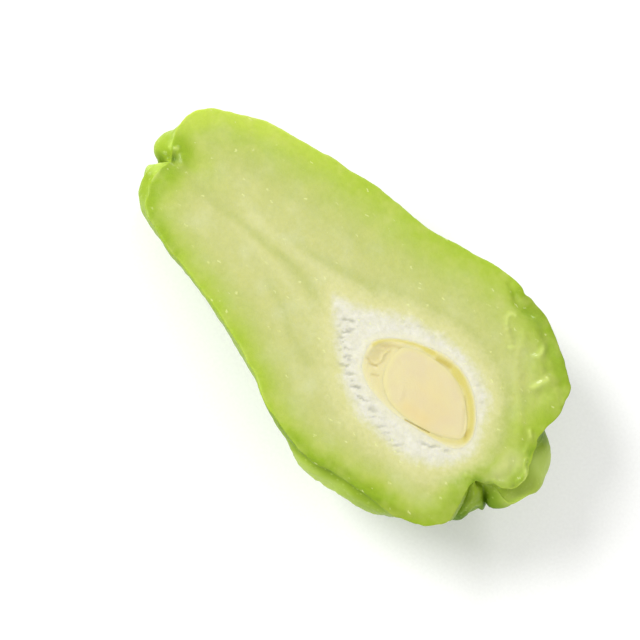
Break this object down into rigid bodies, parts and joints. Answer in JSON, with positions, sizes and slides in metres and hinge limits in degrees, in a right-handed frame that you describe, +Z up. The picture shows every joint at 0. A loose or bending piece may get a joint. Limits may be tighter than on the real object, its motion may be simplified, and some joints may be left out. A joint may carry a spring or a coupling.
{
  "type": "halved chayote squash",
  "caption": "Pear-shaped chayote squash cut lengthwise, resting on its ridged back with the flesh, white pith and seed showing in a flat cut face.",
  "frame": {"origin": "on the surface that the half rests on, under the middle of its bounding box", "axes": "+X along the fruit from the stem pit to the blossom cleft, +Y towards the broad side, +Z up, about 10 degrees off the cut face's outward normal"},
  "size_m": [0.1592, 0.0888, 0.0487],
  "materials": {
    "fruit_flesh": "moist pale green flesh under a glossy green skin",
    "seed_coat": "thin yellowish translucent skin",
    "seed_kernel": "smooth cream"
  },
  "bodies": {
    "root": {"fruit_half": "fruit_flesh", "seed_coat": "seed_coat", "seed_kernel": "seed_kernel"}
  },
  "joints": []
}
